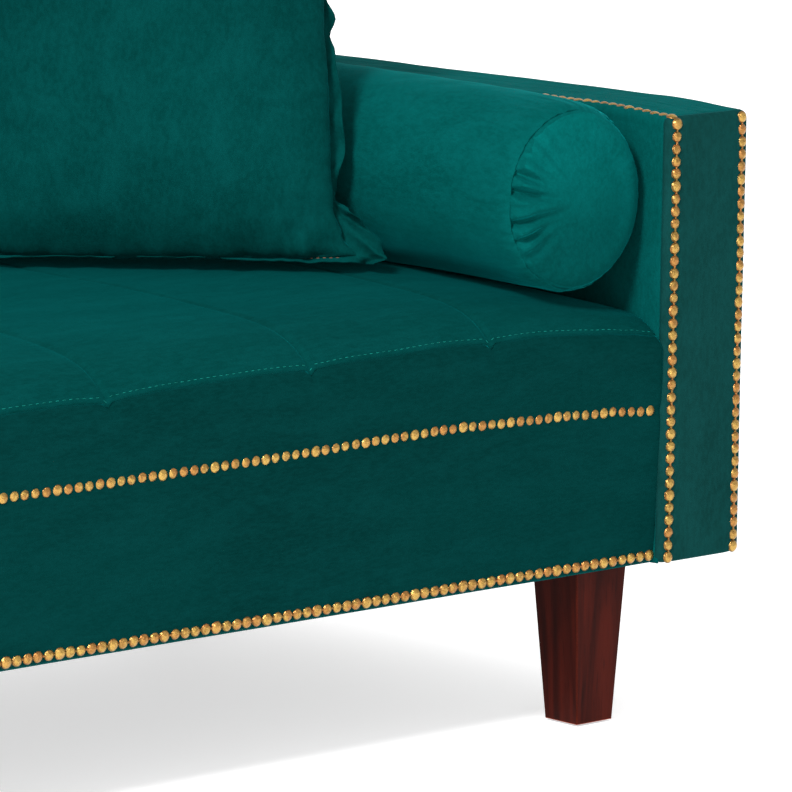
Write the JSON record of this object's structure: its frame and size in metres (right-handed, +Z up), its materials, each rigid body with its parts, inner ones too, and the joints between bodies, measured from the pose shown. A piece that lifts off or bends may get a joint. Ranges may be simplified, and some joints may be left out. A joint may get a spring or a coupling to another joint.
{
  "type": "sofa",
  "caption": "Track-arm sofa with a tight bench seat, nailhead-trimmed front and arms, tapered wooden legs, two loose bolsters and two flanged throw pillows.",
  "frame": {"origin": "on the floor, under the middle of the sofa's overall length and depth", "axes": "+X to the sitter's left-hand arm as seen from the front (right of the view), +Y to the back, +Z up; the front faces -Y"},
  "size_m": [2.05, 0.8, 0.9476],
  "materials": {
    "velvet": "matte",
    "pillow_velvet": "matte",
    "foam": "matte",
    "filling": "matte",
    "lining_cloth": "matte",
    "webbing": "matte",
    "leg_wood": "satin",
    "frame_timber": "matte",
    "panel_board": "matte",
    "glide_plastic": "matte",
    "zinc_steel": "satin",
    "spring_steel": "satin",
    "aged_brass": "satin"
  },
  "bodies": {
    "sofa": {"arm_front_cover_left": "velvet", "arm_front_cover_right": "velvet", "arm_front_post_left": "frame_timber", "arm_front_post_right": "frame_timber", "arm_inner_panel_left": "panel_board", "arm_inner_panel_right": "panel_board", "arm_inside_cover_left": "velvet", "arm_inside_cover_right": "velvet", "arm_outer_panels": "panel_board", "arm_outside_cover_left": "velvet", "arm_outside_cover_right": "velvet", "arm_pad_left": "foam", "arm_pad_right": "foam", "arm_rear_post_left": "frame_timber", "arm_rear_post_right": "frame_timber", "arm_top_rail_left": "frame_timber", "arm_top_rail_right": "frame_timber", "back_centre_post": "frame_timber", "back_cover": "velvet", "back_foam": "foam", "back_panel": "panel_board", "back_post_left": "frame_timber", "back_post_right": "frame_timber", "back_top_rail": "frame_timber", "back_webbing": "webbing", "centre_foot": "leg_wood", "centre_stretcher": "frame_timber", "dust_cover": "lining_cloth", "front_band": "velvet", "front_pad": "foam", "front_rail": "frame_timber", "leg_blocks": "frame_timber", "leg_bolts": "zinc_steel", "leg_front_left": "leg_wood", "leg_front_right": "leg_wood", "leg_glides": "glide_plastic", "leg_plates": "zinc_steel", "leg_rear_left": "leg_wood", "leg_rear_right": "leg_wood", "outside_back_cover": "velvet", "plate_screws": "zinc_steel", "rear_rail": "frame_timber", "seat_cover": "velvet", "seat_felt": "lining_cloth", "seat_foam": "foam", "seat_springs": "spring_steel", "side_rail_left": "frame_timber", "side_rail_right": "frame_timber", "spring_clips": "spring_steel", "trim_nails": "aged_brass", "trim_strips": "aged_brass", "tuck_rail": "frame_timber"},
    "bolster_right": {"bolster_core_right": "filling", "bolster_cover_right": "velvet"},
    "bolster_left": {"bolster_core_left": "filling", "bolster_cover_left": "velvet"},
    "pillow_right": {"pillow_insert_right": "filling", "pillow_cover_right": "pillow_velvet"},
    "pillow_left": {"pillow_insert_left": "filling", "pillow_cover_left": "pillow_velvet"}
  },
  "joints": [
    {"name": "bolster_right_slide", "type": "slide", "parent": "sofa", "child": "bolster_right", "axis": [0, -1, 0], "range_m": [0, 0.6]},
    {"name": "bolster_left_slide", "type": "slide", "parent": "sofa", "child": "bolster_left", "axis": [0, -1, 0], "range_m": [0, 0.6]},
    {"name": "pillow_right_lift", "type": "slide", "parent": "sofa", "child": "pillow_right", "axis": [-0.4, -0.4, 0.8246], "range_m": [0, 0.45]},
    {"name": "pillow_left_lift", "type": "slide", "parent": "sofa", "child": "pillow_left", "axis": [0.4, -0.4, 0.8246], "range_m": [0, 0.45]}
  ]
}
